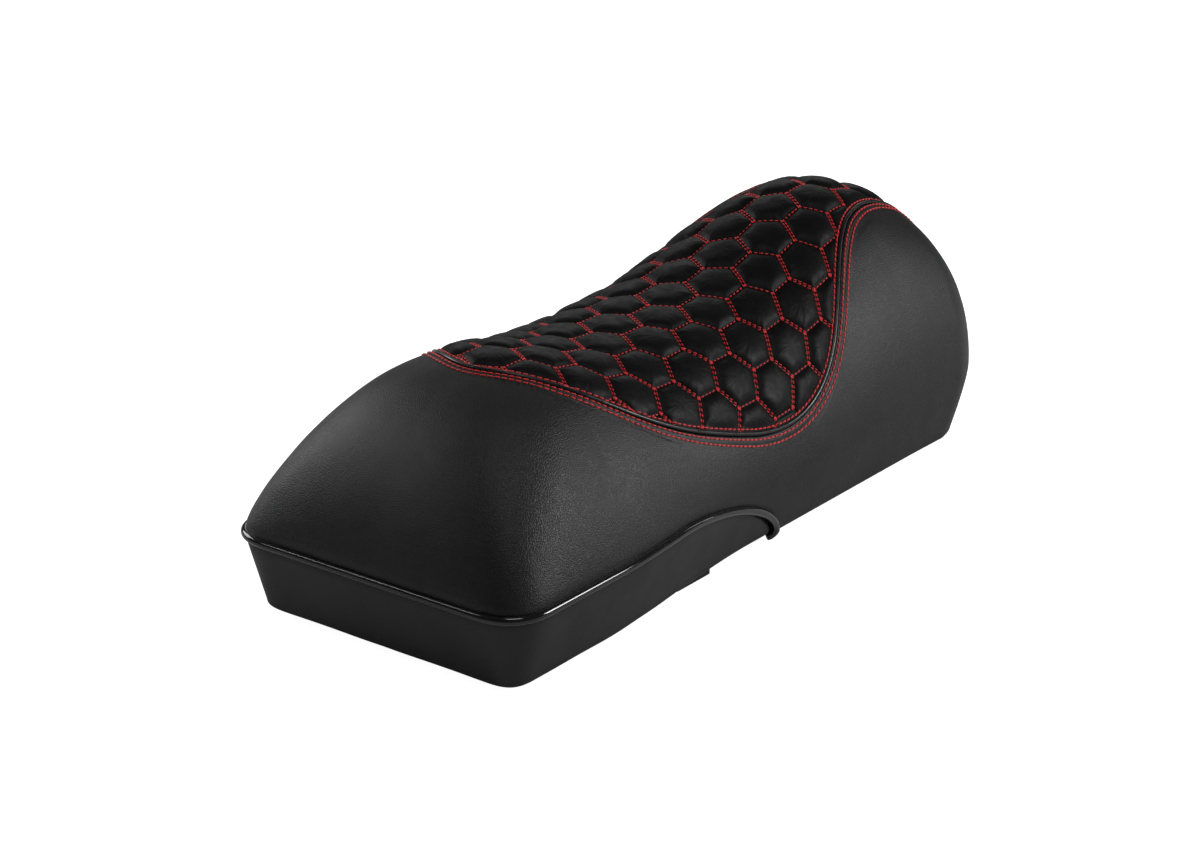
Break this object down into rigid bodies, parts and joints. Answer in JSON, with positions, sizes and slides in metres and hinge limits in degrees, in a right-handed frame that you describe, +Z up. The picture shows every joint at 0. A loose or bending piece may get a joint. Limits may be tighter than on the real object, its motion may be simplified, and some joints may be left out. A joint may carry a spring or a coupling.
{
  "type": "scooter seat",
  "caption": "Two-person scooter seat: honeycomb quilted top, grained wrap cover, welted front skirt, foam on a moulded pan, front hinge and rear latch loop.",
  "frame": {"origin": "middle of the seat in plan, at the underside of its rubber buffers", "axes": "+X to the front of the scooter, +Y to the rider's left, +Z up"},
  "size_m": [0.7619, 0.309, 0.2488],
  "materials": {
    "leatherette": "grained black leatherette, semi-matt",
    "suede": "napped black fabric, matt, quilted with red thread",
    "skirt_vinyl": "smooth black vinyl, matt",
    "gloss_trim": "glossy black welt",
    "edge_trim": "rolled black edge, satin",
    "foam": "moulded cream foam",
    "pan_plastic": "moulded black plastic",
    "hinge_steel": "black coated steel",
    "zinc_steel": "zinc plated steel",
    "rubber": "black rubber"
  },
  "bodies": {
    "seat": {"wrap_cover": "leatherette", "quilted_top": "suede", "skirt": "skirt_vinyl", "skirt_welt": "gloss_trim", "seam_bead": "edge_trim", "foam_core": "foam", "base_pan": "pan_plastic", "seat_hinge_leaf": "hinge_steel", "latch_loop": "hinge_steel", "hinge_pin": "zinc_steel", "hinge_clip": "zinc_steel", "hinge_backing_plate": "zinc_steel", "hinge_bolts": "zinc_steel", "hinge_nuts": "zinc_steel", "loop_backing_plate": "zinc_steel", "loop_bolts": "zinc_steel", "loop_nuts": "zinc_steel", "front_buffers": "rubber", "rear_buffers": "rubber", "side_pads": "rubber"},
    "frame_leaf": {"frame_hinge_leaf": "hinge_steel"}
  },
  "joints": [
    {"name": "seat_hinge", "type": "hinge", "parent": "seat", "child": "frame_leaf", "pos_m": [0.322, 0, 0.0178], "axis": [0, -1, 0], "range_deg": [0, 80]}
  ]
}
